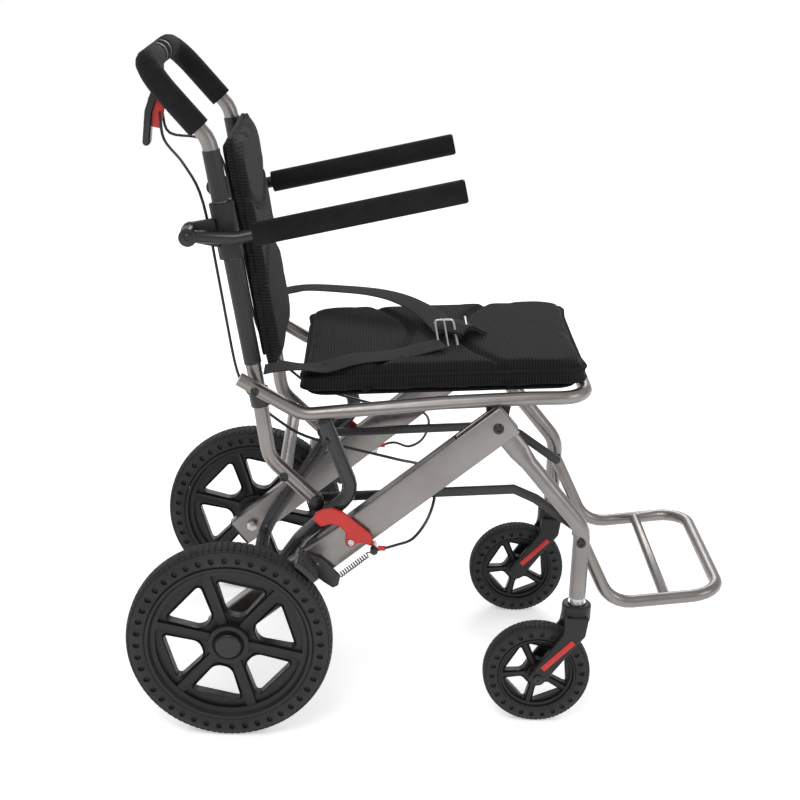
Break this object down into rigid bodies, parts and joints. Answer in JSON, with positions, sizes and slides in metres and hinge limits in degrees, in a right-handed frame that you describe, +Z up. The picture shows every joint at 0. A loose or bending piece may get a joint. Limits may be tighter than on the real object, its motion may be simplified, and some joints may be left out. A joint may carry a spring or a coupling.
{
  "type": "transport wheelchair",
  "caption": "Folding transport wheelchair with a silver frame, push bow with foam grips, padded seat and back, flip-up armrests, footrest loop, big rear wheels and swivel casters.",
  "frame": {"origin": "middle of the chair's length and width, on the floor", "axes": "+X forward, +Y to the sitter's left, +Z up"},
  "size_m": [0.8813, 0.52, 0.9685],
  "materials": {
    "satin_aluminium": "satin warm-grey paint on aluminium",
    "dark_enamel": "dark satin enamel",
    "black_plastic": "fine-textured black",
    "tyre_rubber": "solid tyre, matt",
    "red_plastic": "red, lightly glossy",
    "black_foam": "closed-cell foam",
    "black_mesh_cloth": "ribbed spacer mesh and webbing",
    "zinc_steel": "zinc plated"
  },
  "bodies": {
    "chassis": {"beam_right": "satin_aluminium", "beam_left": "satin_aluminium", "seat_rail": "satin_aluminium", "rear_bow": "dark_enamel", "seat_bracket_right": "black_plastic", "seat_bracket_left": "black_plastic", "seat_cushion": "black_mesh_cloth", "seat_sling": "black_mesh_cloth", "belt_right": "black_mesh_cloth", "belt_left": "black_mesh_cloth", "buckle": "black_plastic", "rear_axle_right": "zinc_steel", "rear_axle_left": "zinc_steel", "brake_spring_right": "zinc_steel", "brake_spring_left": "zinc_steel", "lower_cable_right": "black_plastic", "lower_cable_left": "black_plastic"},
    "back": {"back_frame": "satin_aluminium", "hand_grip_right": "black_foam", "hand_grip_left": "black_foam", "back_socket_right": "black_plastic", "back_socket_left": "black_plastic", "rear_upright_right": "satin_aluminium", "rear_upright_left": "satin_aluminium", "rear_cross_tube": "satin_aluminium", "arm_clamp_right": "black_plastic", "arm_clamp_left": "black_plastic", "back_cushion": "black_mesh_cloth", "back_sling": "black_mesh_cloth", "brake_mount": "black_plastic", "upper_cable_right": "black_plastic", "upper_cable_left": "black_plastic"},
    "front_legs": {"front_leg_right": "satin_aluminium", "front_leg_left": "satin_aluminium"},
    "lower_links": {"lower_link_right": "black_plastic", "lower_link_left": "black_plastic"},
    "footrest": {"footrest": "satin_aluminium"},
    "brake_lever": {"brake_lever": "black_plastic"},
    "parking_catch": {"parking_catch": "red_plastic"},
    "rear_wheel_right": {"rear_tyre_right": "tyre_rubber", "rear_rim_right": "black_plastic"},
    "caster_fork_right": {"caster_fork_right": "black_plastic", "caster_axle_right": "zinc_steel"},
    "caster_wheel_right": {"caster_tyre_right": "tyre_rubber", "caster_rim_right": "black_plastic"},
    "armrest_right": {"arm_bar_right": "black_plastic", "arm_pad_right": "black_foam"},
    "lock_hook_right": {"lock_hook_right": "red_plastic"},
    "brake_arm_right": {"brake_arm_right": "black_plastic"},
    "rear_wheel_left": {"rear_tyre_left": "tyre_rubber", "rear_rim_left": "black_plastic"},
    "caster_fork_left": {"caster_fork_left": "black_plastic", "caster_axle_left": "zinc_steel"},
    "caster_wheel_left": {"caster_tyre_left": "tyre_rubber", "caster_rim_left": "black_plastic"},
    "armrest_left": {"arm_bar_left": "black_plastic", "arm_pad_left": "black_foam"},
    "lock_hook_left": {"lock_hook_left": "red_plastic"},
    "brake_arm_left": {"brake_arm_left": "black_plastic"}
  },
  "joints": [
    {"name": "frame_fold", "type": "hinge", "parent": "chassis", "child": "back", "pos_m": [-0.25775, 0, 0.511], "axis": [0, 1, 0], "range_deg": [0, 36]},
    {"name": "front_leg_fold", "type": "hinge", "parent": "chassis", "child": "front_legs", "pos_m": [0.08525, 0, 0.466], "axis": [0, 1, 0], "range_deg": [0, 36.5]},
    {"name": "lower_link_fold", "type": "hinge", "parent": "front_legs", "child": "lower_links", "pos_m": [0.21225, 0, 0.294], "axis": [0, 1, 0], "range_deg": [-33, 0]},
    {"name": "footrest_flip", "type": "hinge", "parent": "front_legs", "child": "footrest", "pos_m": [0.21225, 0, 0.294], "axis": [0, -1, 0], "range_deg": [0, 85]},
    {"name": "rear_wheel_spin_right", "type": "hinge", "parent": "chassis", "child": "rear_wheel_right", "pos_m": [-0.29075, -0.24, 0.14958], "axis": [0, 1, 0], "continuous": true},
    {"name": "caster_swivel_right", "type": "hinge", "parent": "front_legs", "child": "caster_fork_right", "pos_m": [0.21425, -0.18, 0.07956], "axis": [0, 0, 1], "continuous": true},
    {"name": "caster_spin_right", "type": "hinge", "parent": "caster_fork_right", "child": "caster_wheel_right", "pos_m": [0.16125, -0.18, 0.07956], "axis": [0, 1, 0], "continuous": true},
    {"name": "armrest_flip_right", "type": "hinge", "parent": "back", "child": "armrest_right", "pos_m": [-0.34775, -0.187, 0.73], "axis": [0, -1, 0], "range_deg": [0, 90]},
    {"name": "lock_hook_turn_right", "type": "hinge", "parent": "chassis", "child": "lock_hook_right", "pos_m": [-0.11875, -0.1955, 0.29], "axis": [0, 1, 0], "range_deg": [0, 40]},
    {"name": "brake_arm_turn_right", "type": "hinge", "parent": "chassis", "child": "brake_arm_right", "pos_m": [-0.16948, -0.1955, 0.25164], "axis": [0, -1, 0], "range_deg": [0, 6.3]},
    {"name": "rear_wheel_spin_left", "type": "hinge", "parent": "chassis", "child": "rear_wheel_left", "pos_m": [-0.29075, 0.24, 0.14958], "axis": [0, 1, 0], "continuous": true},
    {"name": "caster_swivel_left", "type": "hinge", "parent": "front_legs", "child": "caster_fork_left", "pos_m": [0.21425, 0.18, 0.07956], "axis": [0, 0, 1], "continuous": true},
    {"name": "caster_spin_left", "type": "hinge", "parent": "caster_fork_left", "child": "caster_wheel_left", "pos_m": [0.16125, 0.18, 0.07956], "axis": [0, 1, 0], "continuous": true},
    {"name": "armrest_flip_left", "type": "hinge", "parent": "back", "child": "armrest_left", "pos_m": [-0.34775, 0.187, 0.73], "axis": [0, -1, 0], "range_deg": [0, 90]},
    {"name": "lock_hook_turn_left", "type": "hinge", "parent": "chassis", "child": "lock_hook_left", "pos_m": [-0.11875, 0.1955, 0.29], "axis": [0, 1, 0], "range_deg": [0, 40]},
    {"name": "brake_arm_turn_left", "type": "hinge", "parent": "chassis", "child": "brake_arm_left", "pos_m": [-0.16948, 0.1955, 0.25164], "axis": [0, -1, 0], "range_deg": [0, 6.3]},
    {"name": "brake_squeeze", "type": "hinge", "parent": "back", "child": "brake_lever", "pos_m": [-0.41075, 0, 0.91], "axis": [0, 1, 0], "range_deg": [0, 22], "stiffness_Nm_per_rad": 0.6},
    {"name": "parking_catch_turn", "type": "hinge", "parent": "back", "child": "parking_catch", "pos_m": [-0.40075, 0, 0.884], "axis": [0, -1, 0], "range_deg": [0, 40]}
  ],
  "couplings": [
    {"joint": "front_leg_fold", "follows": "frame_fold", "ratio": 1.01},
    {"joint": "lower_link_fold", "follows": "frame_fold", "ratio": -0.905},
    {"joint": "brake_arm_turn_right", "follows": "brake_squeeze", "ratio": 0.28},
    {"joint": "brake_arm_turn_left", "follows": "brake_squeeze", "ratio": 0.28}
  ]
}
